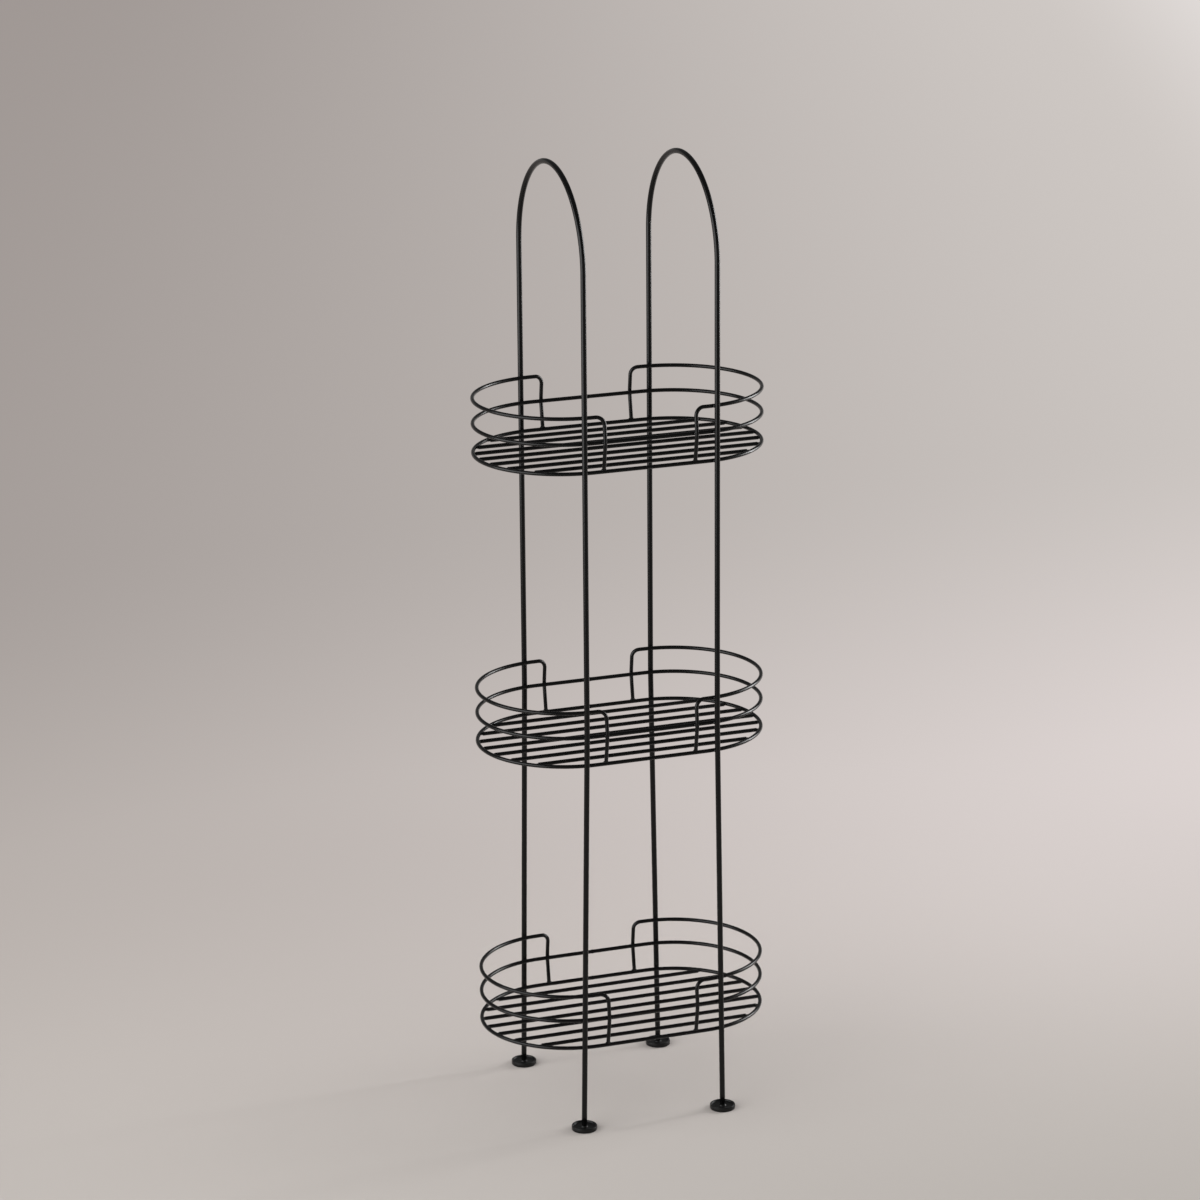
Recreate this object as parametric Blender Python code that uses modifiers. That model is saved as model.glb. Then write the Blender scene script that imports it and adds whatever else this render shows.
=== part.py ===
"""A tall wire rack with three oval baskets.

Two hoops of thick wire stand side by side and run from front to back.  Three baskets of thinner
wire sit between their legs, and each leg ends in a round foot.  Metres, +Z up.  X runs along the
baskets, -Y is the front, and the origin is on the floor under the middle of the rack.
"""

import math

import bpy

# Wire stock, coating included
HOOP_WIRE = 0.0062
RAIL_WIRE = 0.0044
SLAT_WIRE = 0.0044

# Clear space where one piece is welded to another or pushed into it
SEAT_GAP = 0.0003

# Hoops, to the middle of the wire but for the overall height
OVERALL_HEIGHT = 1.098
HOOP_PAST_END = 0.0125
LEG_SPLAY = 0.007

# Baskets, to the middle of the wire
BASKET_LENGTH = 0.330
BASKET_DEPTH = 0.200
LOWEST_BASE = 0.097
TIER_PITCH = 0.336
TIER_NAMES = ("bottom", "middle", "top")
WALL_RING_RISE = 0.033
END_RAIL_RISE = 0.062
RAIL_BEND = 0.009
RAIL_RUN = 0.0025
SLAT_COUNT = 7

# Feet
FOOT_WIDTH = 0.029
FOOT_THICKNESS = 0.005
FOOT_FLOOR = 0.0015
FOOT_EDGE = 0.0012
FOOT_HEEL = 0.0006
RIM_WIDTH = 0.0028
RIM_STEP = 0.0005
BOWL_FALL = 0.0010
COLLAR_WALL = 0.0012
COLLAR_RISE = 0.0007

# How finely the round shapes are cut
END_STEPS = 24
ARCH_STEPS = 36
BEND_STEPS = 6
FOOT_STEPS = 28
CORNER_STEPS = 3
HOOP_ROUND_STEPS = 4
RAIL_ROUND_STEPS = 2

# Sizes that follow from the ones above
HOOP_RADIUS = HOOP_WIRE / 2
RAIL_RADIUS = RAIL_WIRE / 2
SLAT_RADIUS = SLAT_WIRE / 2
END_RADIUS = BASKET_DEPTH / 2
END_CENTRE = BASKET_LENGTH / 2 - END_RADIUS
POST_PLACE = END_CENTRE - RAIL_RUN - RAIL_BEND
HOOP_PLACE = END_CENTRE + HOOP_PAST_END
SPLAY_HEIGHT = LOWEST_BASE + TIER_PITCH + WALL_RING_RISE
SLAT_PITCH = BASKET_DEPTH / (SLAT_COUNT + 1)


def clear_scene():
    for thing in list(bpy.data.objects):
        bpy.data.objects.remove(thing, do_unlink=True)


def finish(name, colour, roughness, metallic):
    """A plain material for one kind of piece."""
    material = bpy.data.materials.new(name)
    material.use_nodes = True
    surface = material.node_tree.nodes["Principled BSDF"]
    surface.inputs["Base Color"].default_value = (*colour, 1.0)
    surface.inputs["Roughness"].default_value = roughness
    surface.inputs["Metallic"].default_value = metallic
    return material


def wire(name, points, diameter, round_steps, material, closed=False):
    """A round wire bent along the points."""
    curve = bpy.data.curves.new(name, "CURVE")
    curve.dimensions = "3D"
    curve.bevel_depth = diameter / 2
    curve.bevel_resolution = round_steps
    curve.use_fill_caps = not closed
    spline = curve.splines.new("POLY")
    spline.points.add(len(points) - 1)
    for point, place in zip(spline.points, points):
        point.co = (*place, 1.0)
    spline.use_cyclic_u = closed
    curve.materials.append(material)
    return curve


def place(name, data, collection, parent, location=(0.0, 0.0, 0.0), turned=False):
    """Puts a named piece on its parent, and turns it half round when it serves the other side."""
    piece = bpy.data.objects.new(name, data)
    collection.objects.link(piece)
    piece.parent = parent
    piece.location = location
    piece.rotation_euler.z = math.pi if turned else 0.0
    return piece


def arc(centre, radius, start, end, steps):
    """Points round an arc in its own plane, both ends included."""
    points = []
    for step in range(steps + 1):
        angle = start + (end - start) * step / steps
        across = centre[0] + radius * math.cos(angle)
        along = centre[1] + radius * math.sin(angle)
        points.append((across, along))
    return points


def seat_depth(across):
    """How far from the rack's middle a hoop leg stands when it touches the outside of a ring."""
    reach = END_RADIUS + RAIL_RADIUS + HOOP_RADIUS + SEAT_GAP
    past_end = max(across - END_CENTRE, 0.0)
    return math.sqrt(reach**2 - past_end**2)


def leg_at(height):
    """Where a leg is at some height: upright down to the middle basket, then splayed to the floor.

    Below the middle basket the leg lies on one straight line, which touches the lowest base ring.
    """
    top_depth = seat_depth(HOOP_PLACE)
    if height >= SPLAY_HEIGHT:
        return HOOP_PLACE, top_depth
    slope = LEG_SPLAY / SPLAY_HEIGHT
    drop = SPLAY_HEIGHT - height
    ring_drop = SPLAY_HEIGHT - LOWEST_BASE
    ring_depth = seat_depth(HOOP_PLACE + slope * ring_drop)
    lean = (top_depth - ring_depth) / ring_drop
    return HOOP_PLACE + slope * drop, top_depth - lean * drop


def hoop_path():
    """The right hoop from its front foot, over the arch and down to its back foot."""
    tip = FOOT_FLOOR + SEAT_GAP
    radius = seat_depth(HOOP_PLACE)
    spring = OVERALL_HEIGHT - HOOP_RADIUS - radius
    leg = []
    for height in (tip, LOWEST_BASE, SPLAY_HEIGHT):
        across, depth = leg_at(height)
        leg.append((across, -depth, height))
    arch = []
    for depth, height in arc((0.0, spring), radius, math.pi, 0.0, ARCH_STEPS):
        arch.append((HOOP_PLACE, depth, height))
    back_leg = [(across, -depth, height) for across, depth, height in reversed(leg)]
    return leg + arch + back_leg


def ring_path():
    """The full oval of a basket, seen from above: two round ends and two straight sides."""
    quarter = math.pi / 2
    right = arc((END_CENTRE, 0.0), END_RADIUS, -quarter, quarter, END_STEPS)
    left = arc((-END_CENTRE, 0.0), END_RADIUS, quarter, 3 * quarter, END_STEPS)
    return [(across, depth, 0.0) for across, depth in right + left]


def post_path():
    """One post of the right end rail, from the base ring up to the start of its bend.

    It stands on top of the base ring, leans out to pass outside the wall ring, and leans back.
    """
    foot = RAIL_RADIUS + SEAT_GAP
    pass_depth = END_RADIUS + 2 * RAIL_RADIUS + SEAT_GAP
    return [
        (POST_PLACE, END_RADIUS, foot),
        (POST_PLACE, pass_depth, WALL_RING_RISE - RAIL_RADIUS),
        (POST_PLACE, pass_depth, WALL_RING_RISE + RAIL_RADIUS),
    ]


def end_rail_path():
    """The right end rail: up the back post, round the end, and down the front post."""
    half = post_path()
    corner = (POST_PLACE + RAIL_BEND, END_RAIL_RISE - RAIL_BEND)
    for across, height in arc(corner, RAIL_BEND, math.pi, math.pi / 2, BEND_STEPS):
        half.append((across, END_RADIUS, height))
    front_half = [(across, -depth, height) for across, depth, height in reversed(half)]
    quarter = math.pi / 2
    end = arc((END_CENTRE, 0.0), END_RADIUS, quarter, -quarter, END_STEPS)
    return half + [(across, depth, END_RAIL_RISE) for across, depth in end] + front_half


def slat_path(depth):
    """A straight slat, cut square where its corners meet the inside of the base ring."""
    inside = END_RADIUS - RAIL_RADIUS - SEAT_GAP
    half = END_CENTRE + math.sqrt(inside**2 - (abs(depth) + SLAT_RADIUS) ** 2)
    return [(-half, 0.0, 0.0), (half, 0.0, 0.0)]


def foot_profile():
    """Half of a foot's section: the leg's socket and its collar, the bowl, the rim and the flat base."""
    radius = FOOT_WIDTH / 2
    socket = HOOP_RADIUS + SEAT_GAP
    bowl_edge = radius - RIM_WIDTH
    bowl_top = FOOT_THICKNESS - RIM_STEP
    bowl_low = bowl_top - BOWL_FALL
    collar_top = bowl_low + COLLAR_RISE
    edge_centre = (radius - FOOT_EDGE, FOOT_THICKNESS - FOOT_EDGE)
    return [
        (0.0, FOOT_FLOOR),
        (socket, FOOT_FLOOR),
        (socket, collar_top),
        (socket + COLLAR_WALL / 2, collar_top),
        (socket + COLLAR_WALL, bowl_low),
        (bowl_edge - RIM_STEP, bowl_top),
        (bowl_edge, FOOT_THICKNESS),
        *arc(edge_centre, FOOT_EDGE, math.pi / 2, 0.0, CORNER_STEPS),
        (radius, FOOT_HEEL),
        (radius - FOOT_HEEL, 0.0),
        (0.0, 0.0),
    ]


def foot_mesh(material):
    """The profile as a chain of edges, which the feet turn about their own axes."""
    profile = foot_profile()
    mesh = bpy.data.meshes.new("foot_profile")
    corners = [(across, 0.0, height) for across, height in profile]
    mesh.from_pydata(corners, [(i, i + 1) for i in range(len(corners) - 1)], [])
    mesh.materials.append(material)
    return mesh


def turn_foot(foot):
    turning = foot.modifiers.new("turn", "SCREW")
    turning.steps = FOOT_STEPS
    turning.render_steps = FOOT_STEPS
    turning.use_merge_vertices = True
    turning.merge_threshold = SEAT_GAP / 10


def build_hoops(collection, rack):
    coat = finish("hoop_powder_coat", (0.016, 0.016, 0.017), 0.38, 0.0)
    hoop = wire("hoop", hoop_path(), HOOP_WIRE, HOOP_ROUND_STEPS, coat)
    place("left_hoop", hoop, collection, rack, turned=True)
    place("right_hoop", hoop, collection, rack)


def build_baskets(collection, rack):
    rail_coat = finish("rail_powder_coat", (0.016, 0.016, 0.017), 0.38, 0.0)
    slat_coat = finish("slat_powder_coat", (0.016, 0.016, 0.017), 0.42, 0.0)
    ring = wire("ring", ring_path(), RAIL_WIRE, RAIL_ROUND_STEPS, rail_coat, closed=True)
    end_rail = wire("end_rail", end_rail_path(), RAIL_WIRE, RAIL_ROUND_STEPS, rail_coat)
    slats = []
    for number in range(1, SLAT_COUNT + 1):
        depth = number * SLAT_PITCH - END_RADIUS
        slat = wire("slat", slat_path(depth), SLAT_WIRE, RAIL_ROUND_STEPS, slat_coat)
        slats.append((number, depth, slat))
    for tier, tier_name in enumerate(TIER_NAMES):
        basket = place(tier_name + "_basket", None, collection, rack)
        basket.location.z = LOWEST_BASE + tier * TIER_PITCH
        place(tier_name + "_base_ring", ring, collection, basket)
        place(tier_name + "_wall_ring", ring, collection, basket, (0.0, 0.0, WALL_RING_RISE))
        place(tier_name + "_left_end_rail", end_rail, collection, basket, turned=True)
        place(tier_name + "_right_end_rail", end_rail, collection, basket)
        for number, depth, slat in slats:
            place(f"{tier_name}_slat_{number}", slat, collection, basket, (0.0, depth, 0.0))


def build_feet(collection, rack):
    rubber = finish("foot_rubber", (0.026, 0.026, 0.027), 0.62, 0.0)
    mesh = foot_mesh(rubber)
    across, depth = leg_at((FOOT_FLOOR + FOOT_THICKNESS) / 2)
    for side, side_sign in (("left", -1), ("right", 1)):
        for end, end_sign in (("front", -1), ("back", 1)):
            spot = (side_sign * across, end_sign * depth, 0.0)
            turn_foot(place(f"{end}_{side}_foot", mesh, collection, rack, spot))


def main():
    clear_scene()
    collection = bpy.data.collections.new("tiered_rack")
    bpy.context.scene.collection.children.link(collection)
    rack = place("tiered_rack", None, collection, None)
    build_hoops(collection, rack)
    build_baskets(collection, rack)
    build_feet(collection, rack)


main()
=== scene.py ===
# %% [markdown]
# # A tiered wire rack in Blender
#
# The rack is bent and welded from two kinds of steel wire and then powder coated black. Two thick
# hoops carry three oval baskets, and four rubber feet keep the hoops off the floor. The CAD model
# already fixes every size, so this lesson dresses it: rounder wires, weld beads, moulded feet,
# a coat with grain, and soft studio light. The first cell imports the CAD model as a fixed frame.

# %% Load the frame
import math

import bmesh
import bpy
from mathutils import Matrix, Quaternion, Vector, noise


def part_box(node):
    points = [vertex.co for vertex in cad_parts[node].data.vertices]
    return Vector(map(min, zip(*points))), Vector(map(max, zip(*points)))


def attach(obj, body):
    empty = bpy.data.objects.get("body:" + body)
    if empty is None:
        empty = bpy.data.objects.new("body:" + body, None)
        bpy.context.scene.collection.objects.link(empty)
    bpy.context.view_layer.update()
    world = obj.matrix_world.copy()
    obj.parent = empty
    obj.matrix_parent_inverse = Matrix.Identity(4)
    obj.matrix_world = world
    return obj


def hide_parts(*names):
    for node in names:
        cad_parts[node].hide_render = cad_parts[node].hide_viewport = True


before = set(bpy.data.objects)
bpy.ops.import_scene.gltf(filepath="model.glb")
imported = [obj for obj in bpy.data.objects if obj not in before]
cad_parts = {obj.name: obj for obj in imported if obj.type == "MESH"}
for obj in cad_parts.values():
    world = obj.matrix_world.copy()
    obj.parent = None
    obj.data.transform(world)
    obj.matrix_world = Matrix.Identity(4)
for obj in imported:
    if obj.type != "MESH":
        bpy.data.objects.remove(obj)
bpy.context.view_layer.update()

# %% [markdown]
# ## Sizes that the frame gives
#
# A wire's box tells its thickness and its place, so nothing has to be typed twice. The straight
# sides of a basket run along X and its two ends are half circles. Only what a box can't tell, such
# as the radius of a bend, is named here by itself.

# %% Measure the wires
TIERS = ("bottom", "middle", "top")
BODY = "root"
HOOP_RADIUS = 0.0031
RAIL_BEND = 0.009
HOOP_PLACE = 0.0775
LEG_SPLAY = 0.007

ring_low, ring_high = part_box("bottom_base_ring")
RAIL_RADIUS = (ring_high.z - ring_low.z) / 2
END_RADIUS = ring_high.y - RAIL_RADIUS
END_CENTRE = ring_high.x - RAIL_RADIUS - END_RADIUS

end_low, end_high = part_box("bottom_right_end_rail")
POST_PLACE = end_low.x + RAIL_RADIUS
POST_BOW = end_high.y - RAIL_RADIUS - END_RADIUS

hoop_low, hoop_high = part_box("right_hoop")
SEAT_REACH = END_RADIUS + POST_BOW + HOOP_RADIUS - RAIL_RADIUS


def middle_height(node):
    """The height of the middle of a level wire."""
    low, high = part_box(node)
    return (low.z + high.z) / 2


BASE_HEIGHTS = [middle_height(tier + "_base_ring") for tier in TIERS]
WALL_RISE = middle_height("bottom_wall_ring") - BASE_HEIGHTS[0]
RAIL_RISE = end_high.z - RAIL_RADIUS - BASE_HEIGHTS[0]
print("rail radius", round(RAIL_RADIUS, 5), "end radius", round(END_RADIUS, 4))
print("base heights", [round(height, 3) for height in BASE_HEIGHTS])

# %% [markdown]
# ## Paths for the bent wires
#
# A wire bender works along a line: straight, bend, straight. So each wire starts as a path of
# points on its centre line. The bends get a point every few degrees, and straight runs only get
# points where something happens on them.

# %% Path helpers
QUARTER = math.pi / 2
HALF_TURN = math.pi
FULL_TURN = 2 * math.pi


def arc(centre, radius, start, end, steps):
    """Points on an arc in its own plane, both ends included."""
    points = []
    for step in range(steps + 1):
        angle = start + (end - start) * step / steps
        points.append((centre[0] + radius * math.cos(angle), centre[1] + radius * math.sin(angle)))
    return points


def soften(points, reach, steps):
    """Rounds the inner corners of a path, each as a short curve that starts and ends at the reach."""
    softer = [points[0]]
    for before, corner, after in zip(points, points[1:], points[2:]):
        corner = Vector(corner)
        start = corner + (Vector(before) - corner).normalized() * reach
        end = corner + (Vector(after) - corner).normalized() * reach
        for step in range(steps + 1):
            share = step / steps
            softer.append(tuple(start.lerp(corner, share).lerp(corner.lerp(end, share), share)))
    return softer + [points[-1]]


print("points on a quarter arc of 6 steps:", len(arc((0.0, 0.0), 1.0, 0.0, QUARTER, 6)))


# %% [markdown]
# ## Sweeping a round section along a path
#
# A curve with a bevel would be quicker, and its points could even swell it at a weld, but its ends
# stay sharp. Here a circle is made once and extruded from station to station. At each the newest
# ring of edges is moved by a matrix that carries the last place to the next one. The frames turn as
# little as possible from one station to the next, so the wire doesn't twist. On a closed ring the
# last circle comes back to the first, and points that meet there are merged. Small errors add up on
# the way, so in the top basket the two circles end up to two thousandths of a millimetre apart. That
# is past the merge distance, so its two rings keep a seam as narrow as that. A merge distance of a
# hundredth of a millimetre would close it.

# %% A wire from a circle and a path
WIRE_EDGE = 0.0003
WIRE_EDGE_CUTS = 2
MERGE = 0.000001
SMOOTH_ANGLE = math.radians(35)


def frames_along(path, closed, swells):
    """One matrix for each station: where it is, which way the wire runs, and how thick it is."""
    count = len(path)
    frames = []
    heading = Vector((0.0, 0.0, 1.0))
    turn = Quaternion()
    for index, spot in enumerate(path):
        before = path[index - 1] if closed or index > 0 else spot
        after = path[(index + 1) % count] if closed or index < count - 1 else spot
        along = (Vector(after) - Vector(before)).normalized()
        turn = heading.rotation_difference(along) @ turn
        heading = along
        size = Matrix.Scale(swells.get(index, 1.0), 4)
        frames.append(Matrix.Translation(spot) @ turn.to_matrix().to_4x4() @ size)
    if closed:
        frames.append(frames[0])
    return frames


def round_edges(shape, edges, width, cuts):
    """Bevels some edges of a bmesh, so that they catch the light as a coated or moulded edge does."""
    bmesh.ops.bevel(shape, geom=edges, offset=width, offset_type="OFFSET", segments=cuts,
                    profile=0.5, affect="EDGES", material=-1, clamp_overlap=True)


def bend_wire(name, path, radius, sides, closed=False, swells=None):
    """A round wire along a path, with softened ends, as a mesh object at the origin."""
    wire = bmesh.new()
    frames = frames_along(path, closed, swells or {})
    bmesh.ops.create_circle(wire, cap_ends=not closed, segments=sides, radius=radius, matrix=frames[0])
    rim = list(wire.edges)
    end_edges = [] if closed else list(rim)
    for last, here in zip(frames, frames[1:]):
        grown = bmesh.ops.extrude_edge_only(wire, edges=rim)["geom"]
        corners = [item for item in grown if isinstance(item, bmesh.types.BMVert)]
        bmesh.ops.transform(wire, matrix=here @ last.inverted(), verts=corners)
        fresh = set(corners)
        edges = [item for item in grown if isinstance(item, bmesh.types.BMEdge)]
        rim = [edge for edge in edges if fresh.issuperset(edge.verts)]
    if closed:
        bmesh.ops.remove_doubles(wire, verts=wire.verts, dist=MERGE)
    else:
        bmesh.ops.contextual_create(wire, geom=rim)
        round_edges(wire, end_edges + rim, WIRE_EDGE, WIRE_EDGE_CUTS)
    bmesh.ops.recalc_face_normals(wire, faces=wire.faces)
    return mesh_object(name, wire)


def mesh_object(name, shape):
    """Turns a finished bmesh into a smooth-shaded object."""
    mesh = bpy.data.meshes.new(name)
    shape.to_mesh(mesh)
    shape.free()
    mesh.shade_smooth()
    mesh.set_sharp_from_angle(angle=SMOOTH_ANGLE)
    made = bpy.data.objects.new(name, mesh)
    bpy.context.scene.collection.objects.link(made)
    return made


print("cut ends are softened by", round(WIRE_EDGE * 1000, 1), "mm")


# %% [markdown]
# ## Node groups for the finishes
#
# Powder coat isn't one flat black. The powder melts into a skin with soft waves like orange peel,
# and a finer grain lies on top of them. One group makes both, in metres on Object coordinates, so
# thick and thin wires carry the same scale of texture. A second group gives the thin dust that
# settles on faces that look upwards.

# %% Helpers for node trees
# A Mix node has a set of sockets for each kind of value. These are the numbers of its colour set.
MIX_SHARE = 0
MIX_FIRST = 6
MIX_SECOND = 7
MIX_RESULT = 2


def new_group(name, inputs, outputs):
    """A shader node group with named sockets. Each input is (name, kind, start value)."""
    tree = bpy.data.node_groups.new(name, "ShaderNodeTree")
    for label, kind, value in inputs:
        socket = tree.interface.new_socket(name=label, in_out="INPUT", socket_type=kind)
        socket.default_value = value
    for label, kind in outputs:
        tree.interface.new_socket(name=label, in_out="OUTPUT", socket_type=kind)
    return tree, tree.nodes.new("NodeGroupInput"), tree.nodes.new("NodeGroupOutput")


def noise_node(tree, place, scale, detail):
    """A noise texture on the given coordinates. Scale is in waves per metre."""
    node = tree.nodes.new("ShaderNodeTexNoise")
    node.inputs["Detail"].default_value = detail
    tree.links.new(place, node.inputs["Vector"])
    if isinstance(scale, float):
        node.inputs["Scale"].default_value = scale
    else:
        tree.links.new(scale, node.inputs["Scale"])
    return node.outputs["Fac"]


def spread(tree, value, low, high):
    """Maps a 0 to 1 value to low to high. Low and high are numbers or sockets."""
    node = tree.nodes.new("ShaderNodeMapRange")
    tree.links.new(value, node.inputs["Value"])
    for label, bound in (("To Min", low), ("To Max", high)):
        if isinstance(bound, float):
            node.inputs[label].default_value = bound
        else:
            tree.links.new(bound, node.inputs[label])
    return node.outputs["Result"]


def smooth_share(tree, value, start, end):
    """0 before the start, 1 past the end, and a soft step between them."""
    node = tree.nodes.new("ShaderNodeMapRange")
    node.interpolation_type = "SMOOTHSTEP"
    node.inputs["From Min"].default_value = start
    node.inputs["From Max"].default_value = end
    tree.links.new(value, node.inputs["Value"])
    return node.outputs["Result"]


def maths(tree, operation, first, second=0.0):
    """One Math node. Each term is a number or a socket."""
    node = tree.nodes.new("ShaderNodeMath")
    node.operation = operation
    for socket, term in zip(node.inputs, (first, second)):
        if isinstance(term, float):
            socket.default_value = term
        else:
            tree.links.new(term, socket)
    return node.outputs["Value"]


def mix_colours(tree, share, first, second):
    """Blends two colours by a 0 to 1 share. Each colour is a tuple or a socket."""
    node = tree.nodes.new("ShaderNodeMix")
    node.data_type = "RGBA"
    tree.links.new(share, node.inputs[MIX_SHARE])
    for number, colour in ((MIX_FIRST, first), (MIX_SECOND, second)):
        if isinstance(colour, tuple):
            node.inputs[number].default_value = colour
        else:
            tree.links.new(colour, node.inputs[number])
    return node.outputs[MIX_RESULT]


def grey(level):
    """A plain grey, as the four numbers that a colour socket takes."""
    return (level, level, level, 1.0)


print("a grey of one fifth:", grey(0.2))


# %% The coat's grain
FLOW_SCALE = 38.0
FLOW_DETAIL = 3.0
PEEL_DETAIL = 2.0
GRAIN_DETAIL = 3.0
PEEL_SHARE_OF_HEIGHT = 0.7
FLOW_SHARE_OF_COLOUR = 0.6


def weighed_sum(tree, first, second, first_share):
    """Adds two values. The second gets the share that the first leaves."""
    most = maths(tree, "MULTIPLY", first, first_share)
    return maths(tree, "ADD", most, maths(tree, "MULTIPLY", second, 1.0 - first_share))


def make_coat_grain():
    """Slow flow, orange peel and fine grain, as colour, roughness and height."""
    tree, given, result = new_group(
        "powder_coat_grain",
        [("Thin Coat", "NodeSocketColor", grey(0.02)),
         ("Thick Coat", "NodeSocketColor", grey(0.01)),
         ("Peel Scale", "NodeSocketFloat", 500.0),
         ("Grain Scale", "NodeSocketFloat", 2600.0),
         ("Smooth Roughness", "NodeSocketFloat", 0.3),
         ("Rough Roughness", "NodeSocketFloat", 0.5)],
        [("Colour", "NodeSocketColor"), ("Roughness", "NodeSocketFloat"), ("Height", "NodeSocketFloat")])
    place = tree.nodes.new("ShaderNodeTexCoord").outputs["Object"]
    peel = noise_node(tree, place, given.outputs["Peel Scale"], PEEL_DETAIL)
    grain = noise_node(tree, place, given.outputs["Grain Scale"], GRAIN_DETAIL)
    flow = noise_node(tree, place, FLOW_SCALE, FLOW_DETAIL)
    height = weighed_sum(tree, peel, grain, PEEL_SHARE_OF_HEIGHT)
    uneven = weighed_sum(tree, flow, grain, FLOW_SHARE_OF_COLOUR)
    colour = mix_colours(tree, uneven, given.outputs["Thin Coat"], given.outputs["Thick Coat"])
    rough = spread(tree, uneven, given.outputs["Smooth Roughness"], given.outputs["Rough Roughness"])
    tree.links.new(colour, result.inputs["Colour"])
    tree.links.new(rough, result.inputs["Roughness"])
    tree.links.new(height, result.inputs["Height"])
    return tree


COAT_GRAIN = make_coat_grain()
print("node group", COAT_GRAIN.name)


# %% Dust on faces that look up
SPECK_DETAIL = 4.0
UPWARD_POWER = 2.0
DUST_COLOUR = (0.20, 0.19, 0.18, 1.0)


def make_settled_dust():
    """A mask that is strongest on level faces and broken up by specks."""
    tree, given, result = new_group(
        "settled_dust",
        [("Amount", "NodeSocketFloat", 0.1), ("Speck Scale", "NodeSocketFloat", 900.0)],
        [("Mask", "NodeSocketFloat")])
    facing = tree.nodes.new("ShaderNodeSeparateXYZ")
    tree.links.new(tree.nodes.new("ShaderNodeNewGeometry").outputs["Normal"], facing.inputs["Vector"])
    upward = maths(tree, "POWER", maths(tree, "MAXIMUM", facing.outputs["Z"], 0.0), UPWARD_POWER)
    place = tree.nodes.new("ShaderNodeTexCoord").outputs["Object"]
    specks = noise_node(tree, place, given.outputs["Speck Scale"], SPECK_DETAIL)
    patchy = maths(tree, "MULTIPLY", upward, specks)
    tree.links.new(maths(tree, "MULTIPLY", patchy, given.outputs["Amount"]), result.inputs["Mask"])
    return tree


SETTLED_DUST = make_settled_dust()
print("node group", SETTLED_DUST.name)

# %% [markdown]
# ## The three finishes
#
# Hoops and baskets hang in the same spray booth, but the thin wire takes a slightly drier coat, so
# each gets its own values of the same groups. The feet are moulded rubber: nearly as black as the
# wire but duller, with the finer and deeper grain of the mould, and a little more dust on the faces
# that look up.

# %% A finish from the two groups
def group_node(tree, group, values):
    """Places a node group and sets the inputs that are named."""
    node = tree.nodes.new("ShaderNodeGroup")
    node.node_tree = group
    for label, value in values.items():
        node.inputs[label].default_value = value
    return node


def make_finish(name, grain_values, dust_values, bump, bump_depth, shine):
    """Grain, dust and relief, joined in a Principled BSDF."""
    material = bpy.data.materials.new(name)
    material.use_nodes = True
    tree = material.node_tree
    surface = tree.nodes["Principled BSDF"]
    grain = group_node(tree, COAT_GRAIN, grain_values)
    settled = group_node(tree, SETTLED_DUST, dust_values)
    colour = mix_colours(tree, settled.outputs["Mask"], grain.outputs["Colour"], DUST_COLOUR)
    relief = tree.nodes.new("ShaderNodeBump")
    relief.inputs["Strength"].default_value = bump
    relief.inputs["Distance"].default_value = bump_depth
    tree.links.new(grain.outputs["Height"], relief.inputs["Height"])
    tree.links.new(colour, surface.inputs["Base Color"])
    tree.links.new(grain.outputs["Roughness"], surface.inputs["Roughness"])
    tree.links.new(relief.outputs["Normal"], surface.inputs["Normal"])
    surface.inputs["Specular IOR Level"].default_value = shine
    return material


print("every finish joins", COAT_GRAIN.name, "and", SETTLED_DUST.name)


# %% Powder coat on both kinds of wire
COAT_SHINE = 0.26
COAT_RELIEF = 0.00006

HOOP_COAT = make_finish(
    "hoop_powder_coat",
    {"Thin Coat": grey(0.003), "Thick Coat": grey(0.0015),
     "Smooth Roughness": 0.16, "Rough Roughness": 0.26},
    {"Amount": 0.02}, bump=0.08, bump_depth=COAT_RELIEF, shine=COAT_SHINE)
BASKET_COAT = make_finish(
    "basket_powder_coat",
    {"Thin Coat": grey(0.0035), "Thick Coat": grey(0.002),
     "Smooth Roughness": 0.18, "Rough Roughness": 0.29},
    {"Amount": 0.025}, bump=0.1, bump_depth=COAT_RELIEF, shine=COAT_SHINE)
print("finishes:", HOOP_COAT.name, BASKET_COAT.name)

# %% Moulded rubber
RUBBER_SHINE = 0.25
RUBBER_RELIEF = 0.00008

FOOT_RUBBER = make_finish(
    "moulded_foot_rubber",
    {"Thin Coat": grey(0.006), "Thick Coat": grey(0.003), "Peel Scale": 1100.0,
     "Grain Scale": 3800.0, "Smooth Roughness": 0.28, "Rough Roughness": 0.42},
    {"Amount": 0.03, "Speck Scale": 1400.0}, bump=0.6, bump_depth=RUBBER_RELIEF, shine=RUBBER_SHINE)
print("finish:", FOOT_RUBBER.name)

# %% [markdown]
# ## Dressing a piece
#
# A dressed piece stands for one piece of the CAD model, or joins several, as weld beads do. It gets
# its finish, and it rides on the rack's body. One helper does all of that, so that no piece can miss a
# part of it.

# %% Dress a piece
def take_place(piece, node, material):
    """Dresses a piece, lets it stand for a CAD node and ride on the rack."""
    piece.data.materials.append(material)
    if node:
        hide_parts(node)
    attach(piece, BODY)


print("every piece rides on", BODY)


# %% [markdown]
# ## The hoops
#
# Each hoop is one thick wire, a little over 6 mm across, bent to a tall upside-down U that runs from
# front to back. Down to the middle basket its legs are upright. Below it they splay out a few
# millimetres, which makes the rack steadier, so the path bends very gently there.

# %% Where a leg runs
KNEE_HEIGHT = BASE_HEIGHTS[1] + WALL_RISE
KNEE_SPAN = 0.03
KNEE_STEPS = 6
ARCH_STEPS = 72
HOOP_SIDES = 24


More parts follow.
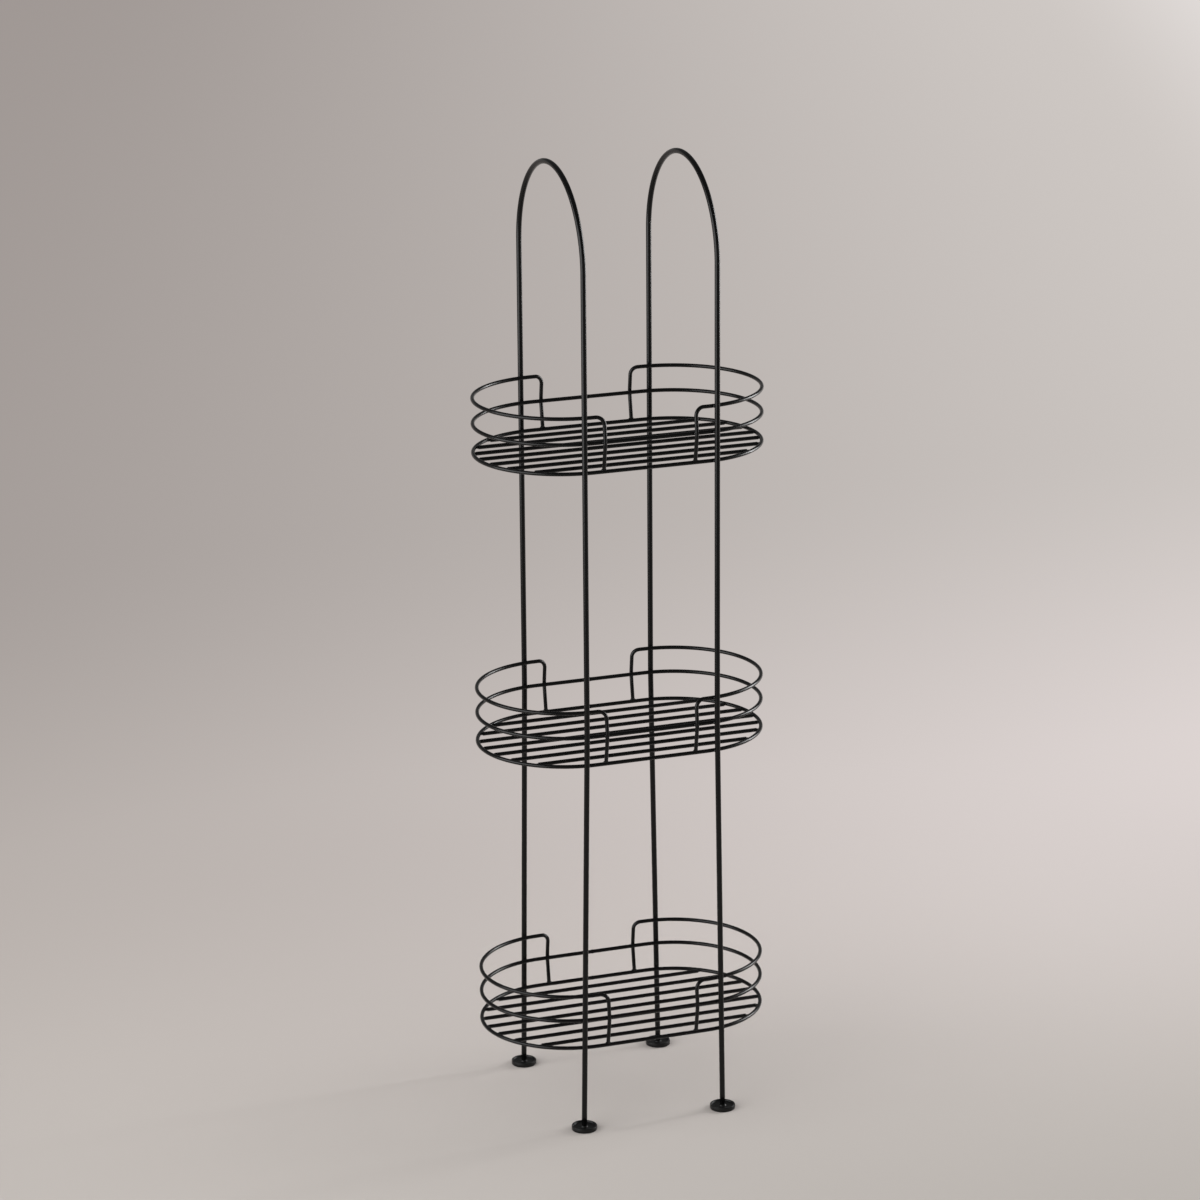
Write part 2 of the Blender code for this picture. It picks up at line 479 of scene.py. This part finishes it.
def seat_depth(across):
    """How far from the rack's middle a leg stands when it touches the outside of a ring."""
    past_end = max(across - END_CENTRE, 0.0)
    return math.sqrt(SEAT_REACH**2 - past_end**2)


def leg_at(height):
    """Across and depth of a leg at some height."""
    top_depth = seat_depth(HOOP_PLACE)
    if height >= KNEE_HEIGHT:
        return HOOP_PLACE, top_depth
    slope = LEG_SPLAY / KNEE_HEIGHT
    ring_drop = KNEE_HEIGHT - BASE_HEIGHTS[0]
    ring_depth = seat_depth(HOOP_PLACE + slope * ring_drop)
    lean = (top_depth - ring_depth) / ring_drop
    drop = KNEE_HEIGHT - height
    return HOOP_PLACE + slope * drop, top_depth - lean * drop


print("a leg stands at", [round(place, 4) for place in leg_at(hoop_low.z)], "on the floor")


# %% Bend both hoops
def hoop_path(side_sign):
    """From the front foot over the arch and down to the back foot."""
    radius = seat_depth(HOOP_PLACE)
    spring = hoop_high.z - HOOP_RADIUS - radius
    heights = [hoop_low.z, BASE_HEIGHTS[0] / 2, BASE_HEIGHTS[0], KNEE_HEIGHT / 2]
    for step in range(KNEE_STEPS + 1):
        heights.append(KNEE_HEIGHT - KNEE_SPAN + 2 * KNEE_SPAN * step / KNEE_STEPS)
    heights += [BASE_HEIGHTS[2], (BASE_HEIGHTS[2] + spring) / 2]
    front = []
    for height in heights:
        across, depth = leg_at(height)
        front.append((side_sign * across, -depth, height))
    over = [(side_sign * HOOP_PLACE, depth, height)
            for depth, height in arc((0.0, spring), radius, HALF_TURN, 0.0, ARCH_STEPS)]
    back = [(across, -depth, height) for across, depth, height in reversed(front)]
    return front + over + back


for side, side_sign in (("left", -1), ("right", 1)):
    hoop = bend_wire(side + "_hoop_wire", hoop_path(side_sign), HOOP_RADIUS, HOOP_SIDES)
    take_place(hoop, side + "_hoop", HOOP_COAT)
    print(hoop.name, len(hoop.data.polygons), "faces")

# %% [markdown]
# ## The rings
#
# Every basket has two full ovals of thin wire: one round its floor and one half-way up its wall.
# A real ring is one length of wire, bent round and butt-welded where its ends meet. The heat and
# pressure leave a small swelling there, so the section grows a little at that seam, at the back.

# %% Bend the rings
RING_STEPS = 56
RAIL_SIDES = 18
SEAM_PLACE = 0.001
SEAM_HALF = 0.0016
SEAM_START_SWELL = 1.05
SEAM_SWELL = 1.13
SEAM_END_SWELL = 1.04


def ring_path(height):
    """An oval seen from above. It starts on the back side with the stations of the seam."""
    seam = [(SEAM_PLACE + step * SEAM_HALF / 2, END_RADIUS) for step in (2, 1, 0, -1, -2)]
    left = arc((-END_CENTRE, 0.0), END_RADIUS, QUARTER, 3 * QUARTER, RING_STEPS)
    right = arc((END_CENTRE, 0.0), END_RADIUS, -QUARTER, QUARTER, RING_STEPS)
    return [(across, depth, height) for across, depth in seam + left + right]


SEAM_SWELLS = {1: SEAM_START_SWELL, 2: SEAM_SWELL, 3: SEAM_END_SWELL}

for tier, base_height in zip(TIERS, BASE_HEIGHTS):
    for kind, rise in (("base", 0.0), ("wall", WALL_RISE)):
        node = f"{tier}_{kind}_ring"
        ring = bend_wire(node + "_wire", ring_path(base_height + rise), RAIL_RADIUS, RAIL_SIDES,
                         closed=True, swells=SEAM_SWELLS)
        take_place(ring, node, BASKET_COAT)
print("six rings of", len(ring.data.polygons), "faces")

# %% [markdown]
# ## The end rails
#
# The top of a basket's wall is a rail round each end only, which leaves the long sides open for a
# hand. Its wire turns down through a tight bend, springs out to pass the wall ring, and stands on
# the base ring. Above the wall ring the post stays a little outside the ring's line, and the bend
# brings the wire back in. The path follows that: a post, a bend, the half circle, and back down.

# %% Bend the end rails
BEND_STEPS = 12
POST_SHARE_OF_RADIUS = 1.15
HEAD_OUT = 0.0025
SPRING_REACH = 0.004
SPRING_STEPS = 5


def end_rail_path(side_sign, base_height):
    """Up the back post, round the end and down the front post."""
    pass_depth = END_RADIUS + POST_BOW
    head = RAIL_RISE - RAIL_BEND
    post = [
        (POST_PLACE, END_RADIUS, RAIL_RADIUS * POST_SHARE_OF_RADIUS),
        (POST_PLACE, pass_depth, WALL_RISE - RAIL_RADIUS),
        (POST_PLACE, pass_depth, WALL_RISE + RAIL_RADIUS),
        (POST_PLACE, END_RADIUS + HEAD_OUT, head),
    ]
    corner = (POST_PLACE + RAIL_BEND, head)
    bend = [(across, END_RADIUS + HEAD_OUT * (corner[0] - across) / RAIL_BEND, rise)
            for across, rise in arc(corner, RAIL_BEND, HALF_TURN, QUARTER, BEND_STEPS)]
    half = soften(post, SPRING_REACH, SPRING_STEPS)[:-1] + bend
    round_end = arc((END_CENTRE, 0.0), END_RADIUS, QUARTER, -QUARTER, RING_STEPS)
    end = [(across, depth, RAIL_RISE) for across, depth in round_end]
    front = [(across, -depth, rise) for across, depth, rise in reversed(half)]
    whole = half + end + front
    return [(side_sign * across, side_sign * depth, base_height + rise)
            for across, depth, rise in whole]


for tier, base_height in zip(TIERS, BASE_HEIGHTS):
    for side, side_sign in (("left", -1), ("right", 1)):
        node = f"{tier}_{side}_end_rail"
        rail = bend_wire(node + "_wire", end_rail_path(side_sign, base_height), RAIL_RADIUS, RAIL_SIDES)
        take_place(rail, node, BASKET_COAT)
print("six end rails of", len(rail.data.polygons), "faces")

# %% [markdown]
# ## The slats
#
# Seven straight wires make a basket's floor. They are cut square and pushed between the two ends
# of the base ring, so only the corners of each end touch it. A slat is the simplest wire: two
# stations, with the ends softened because the coat rounds every cut edge.

# %% Cut the slats
SLAT_NUMBERS = range(1, 8)
slat_ends = []

for tier in TIERS:
    for number in SLAT_NUMBERS:
        node = f"{tier}_slat_{number}"
        low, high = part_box(node)
        middle = (low + high) / 2
        ends = [Vector((low.x, middle.y, middle.z)), Vector((high.x, middle.y, middle.z))]
        slat = bend_wire(node + "_wire", ends, (high.z - low.z) / 2, RAIL_SIDES)
        take_place(slat, node, BASKET_COAT)
        slat_ends.append((tier, ends))
print(len(slat_ends), "slats")

# %% [markdown]
# ## The weld beads
#
# Wherever wires touch, a spot of molten steel holds them, and the coat flows over it as a soft
# lump. A bead starts as an icosphere, is squashed and turned to lie along its joint, and gets a
# few uneven dents from a noise that is always the same. All beads of a basket make one piece.

# %% One bead
DENT = 0.16
DENT_SCALE = 700.0
BEAD_SUBDIVISIONS = 2


def add_bead(shape, spot, along, sizes):
    """A lump with its long side on the direction along, its second side upright."""
    forward = Vector(along).normalized()
    up = Vector((0.0, 0.0, 1.0))
    aside = forward.cross(up).normalized()
    turn = Matrix((forward, up, aside)).transposed().to_4x4()
    stretch = Matrix.Diagonal((*sizes, 1.0))
    placed = Matrix.Translation(spot) @ turn @ stretch
    made = bmesh.ops.create_icosphere(shape, subdivisions=BEAD_SUBDIVISIONS, radius=1.0, matrix=placed)
    for corner in made["verts"]:
        wave = noise.noise(corner.co * DENT_SCALE)
        corner.co = corner.co.lerp(Vector(spot), DENT * wave)


print("dents reach", round(DENT * 100), "percent of a bead at most")


# %% Beads on each basket
HOOP_BEAD = (0.0031, 0.0023, 0.0017)
SLAT_BEAD = (0.0027, 0.0017, 0.0016)
POST_BEAD = (0.0033, 0.0016, 0.0023)
CROSS_BEAD = (0.0027, 0.0024, 0.0015)
SLAT_BEAD_SHARE = 0.25


def ring_contact(across, depth, reach):
    """The point at some reach from the centre of a basket's end, and the wire's direction there."""
    centre = Vector((math.copysign(END_CENTRE, across), 0.0, 0.0))
    offset = Vector((across, depth, 0.0)) - centre
    if abs(across) <= END_CENTRE:
        offset = Vector((0.0, depth, 0.0))
        centre.x = across
    outward = offset.normalized()
    return centre + outward * reach, Vector((-outward.y, outward.x, 0.0))


for tier, base_height in zip(TIERS, BASE_HEIGHTS):
    beads = bmesh.new()
    for side_sign in (-1, 1):
        for end_sign in (-1, 1):
            for rise in (0.0, WALL_RISE, RAIL_RISE):
                across, depth = leg_at(base_height + rise)
                spot, along = ring_contact(side_sign * across, end_sign * depth, END_RADIUS + RAIL_RADIUS)
                spot.z = base_height + rise
                add_bead(beads, spot, along, HOOP_BEAD)
            post = Vector((side_sign * POST_PLACE, end_sign * END_RADIUS, base_height + RAIL_RADIUS))
            add_bead(beads, post, (1.0, 0.0, 0.0), POST_BEAD)
            crossing = Vector((post.x, end_sign * (END_RADIUS + POST_BOW / 2), base_height + WALL_RISE))
            add_bead(beads, crossing, (1.0, 0.0, 0.0), CROSS_BEAD)
    for owner, ends in slat_ends:
        if owner == tier:
            for end in ends:
                spot, along = ring_contact(end.x, end.y, END_RADIUS - RAIL_RADIUS)
                spot.z = end.z
                add_bead(beads, spot.lerp(end, SLAT_BEAD_SHARE), along, SLAT_BEAD)
    bmesh.ops.recalc_face_normals(beads, faces=beads.faces)
    welds = mesh_object(tier + "_weld_beads", beads)
    take_place(welds, None, BASKET_COAT)
    print(welds.name, len(welds.data.polygons), "faces")

# %% [markdown]
# ## The feet
#
# Each foot is a small round moulding: a raised rim, a shallow bowl inside it, and a low round boss
# in the middle that grips the leg. A fine ridge nearly half-way up its side shows where the two
# halves of the mould met. A lathe shape like this is half a section spun round an axis. The boss is
# drawn with its curve, and the plain corners are bevelled after the spin, so they get one soft
# radius.

# %% Half a section of a foot
RIM_WIDTH = 0.0018
BOWL_DROP = 0.0017
BOWL_WALL = 0.00055
BOSS_RISE = 0.0013
BOSS_ROUND = 0.0009
BOSS_SLOPE = math.radians(28)
BOSS_STEPS = 5
PART_LINE = 0.00012
PART_LINE_HALF = 0.0004
PART_LINE_SHARE = 0.45


def foot_section(radius, thickness):
    """Half a section from the axis outwards, over the rim and under to the axis again."""
    bowl = thickness - BOWL_DROP
    shoulder = (HOOP_RADIUS, bowl + BOSS_RISE - BOSS_ROUND)
    boss = arc(shoulder, BOSS_ROUND, QUARTER, BOSS_SLOPE, BOSS_STEPS)
    boss_edge, boss_height = boss[-1]
    boss_foot = boss_edge + (boss_height - bowl) * math.tan(BOSS_SLOPE)
    side = radius - PART_LINE
    part_height = thickness * PART_LINE_SHARE
    return [(0.0, bowl + BOSS_RISE)] + boss + [
        (boss_foot, bowl),
        (radius - RIM_WIDTH - BOWL_WALL, bowl),
        (radius - RIM_WIDTH, thickness),
        (side, thickness),
        (side, part_height + PART_LINE_HALF),
        (radius, part_height),
        (side, part_height - PART_LINE_HALF),
        (side, 0.0),
        (0.0, 0.0),
    ]


print("a foot's bowl is", round(BOWL_DROP * 1000, 1), "mm deep")


# %% Spin and soften the feet
FOOT_SPIN = 72
RUBBER_EDGE = 0.0005
RUBBER_EDGE_CUTS = 3
SHARP = math.radians(66)

for end in ("front", "back"):
    for side in ("left", "right"):
        node = f"{end}_{side}_foot"
        low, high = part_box(node)
        middle = (low + high) / 2
        axis_foot = Vector((middle.x, middle.y, low.z))
        moulding = bmesh.new()
        outline = [moulding.verts.new((axis_foot.x + across, axis_foot.y, axis_foot.z + rise))
                   for across, rise in foot_section((high.x - low.x) / 2, high.z - low.z)]
        section = [moulding.edges.new(pair) for pair in zip(outline, outline[1:])]
        bmesh.ops.spin(moulding, geom=outline + section, cent=axis_foot, axis=(0.0, 0.0, 1.0),
                       dvec=(0.0, 0.0, 0.0), angle=FULL_TURN, steps=FOOT_SPIN, use_merge=True)
        bmesh.ops.remove_doubles(moulding, verts=moulding.verts, dist=MERGE)
        bmesh.ops.recalc_face_normals(moulding, faces=moulding.faces)
        sharp_edges = [edge for edge in moulding.edges if edge.calc_face_angle(0.0) > SHARP]
        round_edges(moulding, sharp_edges, RUBBER_EDGE, RUBBER_EDGE_CUTS)
        foot = mesh_object(node + "_moulding", moulding)
        take_place(foot, node, FOOT_RUBBER)
print("four feet of", len(foot.data.polygons), "faces")

# %% [markdown]
# ## The floor
#
# The rack stands on a plain pale floor with no horizon, like a wide sheet of studio paper. A big
# disc does that. Round the rack it is lit paper, which catches the shadow. Further out it turns to
# a plain glow that only the camera, the glossy coat and glass can see: it looks like more paper
# from every side, and lights nothing but what mirrors it. One tone serves both, and it holds painted
# light and shade: painted shade on the left and towards the far end, and painted light on the right
# and in a far corner. In front of the rack the paper is painted darker, as painted shade. The coat
# mirrors it there, which keeps the middle of each wire dark.

# %% Lay the floor
FLOOR_RADIUS = 40.0
FLOOR_SINK = 0.0002
FLOOR_SIDES = 96

sheet = bmesh.new()
bmesh.ops.create_circle(sheet, cap_ends=True, cap_tris=True, segments=FLOOR_SIDES, radius=FLOOR_RADIUS,
                        matrix=Matrix.Translation((0.0, 0.0, -FLOOR_SINK)))
floor = mesh_object("studio_floor", sheet)
print("floor of", len(floor.data.polygons), "faces")

# %% The paper's tone, with painted light and shade
# Painted light and shade: the left and far tones are painted shade, and the right tones and the far corner
# are painted light.
FRONT = (0.50, 0.467, 0.439, 1.0)
MIDDLE_LEFT = (0.445, 0.406, 0.376, 1.0)
MIDDLE_RIGHT = (0.856, 0.78, 0.772, 1.0)
FAR_LEFT = (0.352, 0.315, 0.299, 1.0)
FAR_RIGHT = (0.64, 0.599, 0.573, 1.0)
PAINTED_LIGHT_FAR_CORNER = (0.82, 0.78, 0.765, 1.0)
# Painted shade: the paper in front of the rack is painted darker, and the coat mirrors it.
PAINTED_SHADE_IN_FRONT = (0.29, 0.28, 0.27, 1.0)

# Each change of tone starts at the first place and is full at the second, in metres.
DRIFT_SLANT = 0.35
TO_THE_RIGHT = (-1.85, 2.2)
TO_THE_CORNER = (1.4, 2.4)
TO_THE_FAR_END = (0.3, 2.5)
TO_THE_MIDDLE = (-0.6, 1.0)
TO_THE_FRONT = (-0.9, -2.6)


def paper_tone_with_painted_light(tree, across, back):
    """The paper's colour at a place on the floor, with painted light and shade in it."""
    sideways = maths(tree, "SUBTRACT", across, maths(tree, "MULTIPLY", back, DRIFT_SLANT))
    right_share = smooth_share(tree, sideways, *TO_THE_RIGHT)
    middle = mix_colours(tree, right_share, MIDDLE_LEFT, MIDDLE_RIGHT)
    far_side = mix_colours(tree, right_share, FAR_LEFT, FAR_RIGHT)
    far = mix_colours(tree, smooth_share(tree, sideways, *TO_THE_CORNER), far_side, PAINTED_LIGHT_FAR_CORNER)
    beyond = mix_colours(tree, smooth_share(tree, back, *TO_THE_FAR_END), middle, far)
    tone = mix_colours(tree, smooth_share(tree, back, *TO_THE_MIDDLE), FRONT, beyond)
    return mix_colours(tree, smooth_share(tree, back, *TO_THE_FRONT), tone, PAINTED_SHADE_IN_FRONT)


print("the paper starts as", FRONT[:3], "at the rack's front")


# %% Lit paper and seen paper
LIT_REACH = 0.5
SEEN_REACH = 1.2
GLOW_AT_RACK = 0.04
BLACK = grey(0.0)


def seen_directly(tree):
    """1 for what the camera, the glossy coat or glass looks at, 0 for light on its way."""
    rays = tree.nodes.new("ShaderNodeLightPath")
    mirrored = maths(tree, "MAXIMUM", rays.outputs["Is Glossy Ray"], rays.outputs["Is Transmission Ray"])
    return maths(tree, "MAXIMUM", rays.outputs["Is Camera Ray"], mirrored)


def make_floor_paper():
    """Lit paper near the rack that turns to a plain glow further out."""
    material = bpy.data.materials.new("studio_paper")
    material.use_nodes = True
    tree = material.node_tree
    surface = tree.nodes["Principled BSDF"]
    place = tree.nodes.new("ShaderNodeTexCoord").outputs["Object"]
    parts = tree.nodes.new("ShaderNodeSeparateXYZ")
    tree.links.new(place, parts.inputs["Vector"])
    across, back = parts.outputs["X"], parts.outputs["Y"]
    tone = paper_tone_with_painted_light(tree, across, back)
    across_square = maths(tree, "MULTIPLY", across, across)
    back_square = maths(tree, "MULTIPLY", back, back)
    distance = maths(tree, "SQRT", maths(tree, "ADD", across_square, back_square))
    away = smooth_share(tree, distance, LIT_REACH, SEEN_REACH)
    glow = maths(tree, "MULTIPLY", spread(tree, away, GLOW_AT_RACK, 1.0), seen_directly(tree))
    # The paper's tone, painted light and shade included, is both the lit colour and the glow.
    tree.links.new(mix_colours(tree, away, tone, BLACK), surface.inputs["Base Color"])
    tree.links.new(tone, surface.inputs["Emission Color"])
    tree.links.new(glow, surface.inputs["Emission Strength"])
    surface.inputs["Roughness"].default_value = 1.0
    surface.inputs["Specular IOR Level"].default_value = 0.0
    return material


floor.data.materials.append(make_floor_paper())
print("floor material:", floor.data.materials[0].name)

# %% [markdown]
# ## Light
#
# Two lights stand at the two ends of the rack, as its double shadows show: a wide soft wall on the
# left, which draws a grey line down the left of every wire, and a smaller, brighter one on the
# right, which draws a thin white line. The right one has a hot stripe down its middle, as cloth in
# front of a lamp has, and the stripe gives each foot its narrow shadow towards the left. A grid in
# front of the lights keeps them on the rack, and a dim even room fills the rest. The camera and the
# glossy coat see a backdrop beyond the floor that is grey near the horizon and darker overhead.

# %% The room
ROOM_LIGHT = (0.42, 0.417, 0.414, 1.0)
BACKDROP = (0.42, 0.40, 0.39, 1.0)
CEILING = grey(0.12)
TO_THE_CEILING = (0.0, 0.25)


def make_room():
    """Even light from all round, behind a backdrop that only direct looks meet."""
    world = bpy.data.worlds.new("studio_room")
    world.use_nodes = True
    tree = world.node_tree
    tree.nodes.clear()
    out = tree.nodes.new("ShaderNodeOutputWorld")
    even = tree.nodes.new("ShaderNodeBackground")
    even.inputs["Color"].default_value = ROOM_LIGHT
    seen = tree.nodes.new("ShaderNodeBackground")
    direction = tree.nodes.new("ShaderNodeSeparateXYZ")
    tree.links.new(tree.nodes.new("ShaderNodeTexCoord").outputs["Generated"], direction.inputs["Vector"])
    above = smooth_share(tree, direction.outputs["Z"], *TO_THE_CEILING)
    tree.links.new(mix_colours(tree, above, BACKDROP, CEILING), seen.inputs["Color"])
    blend = tree.nodes.new("ShaderNodeMixShader")
    share_socket, even_socket, seen_socket = blend.inputs
    tree.links.new(seen_directly(tree), share_socket)
    tree.links.new(even.outputs["Background"], even_socket)
    tree.links.new(seen.outputs["Background"], seen_socket)
    tree.links.new(blend.outputs["Shader"], out.inputs["Surface"])
    return world


bpy.context.scene.world = make_room()
print("room", bpy.context.scene.world.name)


# %% The lights
def soft_panel(name, width, height, radiance, opening, spot, aim):
    """A rectangular light of one brightness. A grid holds its light to an angle in degrees."""
    light = bpy.data.lights.new(name, "AREA")
    light.shape = "RECTANGLE"
    light.size = width
    light.size_y = height
    light.spread = math.radians(opening)
    half = light.spread / 2
    light.energy = radiance * math.pi * width * height * (1 - half / math.tan(half))
    lamp = bpy.data.objects.new(name, light)
    bpy.context.scene.collection.objects.link(lamp)
    lamp.location = spot
    lamp.rotation_mode = "QUATERNION"
    lamp.rotation_quaternion = (Vector(aim) - Vector(spot)).to_track_quat("-Z", "Y")
    lamp.visible_camera = False
    return lamp


left_wall = soft_panel("left_light_wall", width=3.2, height=2.4, radiance=3.5, opening=160.0,
                       spot=(-2.3, -0.5, 1.2), aim=(0.0, -0.2, 0.9))
right_wall = soft_panel("right_light_wall", width=1.6, height=1.5, radiance=7.5, opening=115.0,
                        spot=(2.5, 0.1, 1.1), aim=(0.0, 0.0, 0.8))
right_stripe = soft_panel("right_light_stripe", width=0.15, height=1.5, radiance=24.0, opening=115.0,
                          spot=(2.45, 0.2, 1.1), aim=(0.0, 0.0, 0.8))
for lamp in (left_wall, right_wall, right_stripe):
    print(lamp.name, round(lamp.data.energy, 1), "watts")

# %% [markdown]
# ## Camera
#
# The camera stands in front and a little to the left, well above the middle of the rack, with a
# long lens. Azimuth, elevation, roll and distance describe it best, and a matrix of three turns
# puts it there.

# %% The camera
CAMERA_AIM = Vector((-0.0226, 0.0003, 0.5917))
CAMERA_AZIMUTH = math.radians(-20.116)
CAMERA_ELEVATION = math.radians(16.648)
CAMERA_ROLL = math.radians(-0.439)
CAMERA_DISTANCE = 5.0092
CAMERA_LENS = 133.65
SENSOR = 36.0
CAMERA_REACH = 100.0

camera_data = bpy.data.cameras.new("product_camera")
camera_data.lens = CAMERA_LENS
camera_data.sensor_width = SENSOR
camera_data.clip_end = CAMERA_REACH
camera = bpy.data.objects.new("product_camera", camera_data)
bpy.context.scene.collection.objects.link(camera)
turned = (Matrix.Rotation(CAMERA_AZIMUTH, 4, "Z") @ Matrix.Rotation(QUARTER - CAMERA_ELEVATION, 4, "X")
          @ Matrix.Rotation(CAMERA_ROLL, 4, "Z"))
camera.matrix_world = Matrix.Translation(CAMERA_AIM) @ turned @ Matrix.Translation((0, 0, CAMERA_DISTANCE))
bpy.context.scene.camera = camera
bpy.context.scene.view_settings.view_transform = "Standard"
print("camera at", [round(part, 4) for part in camera.matrix_world.translation])
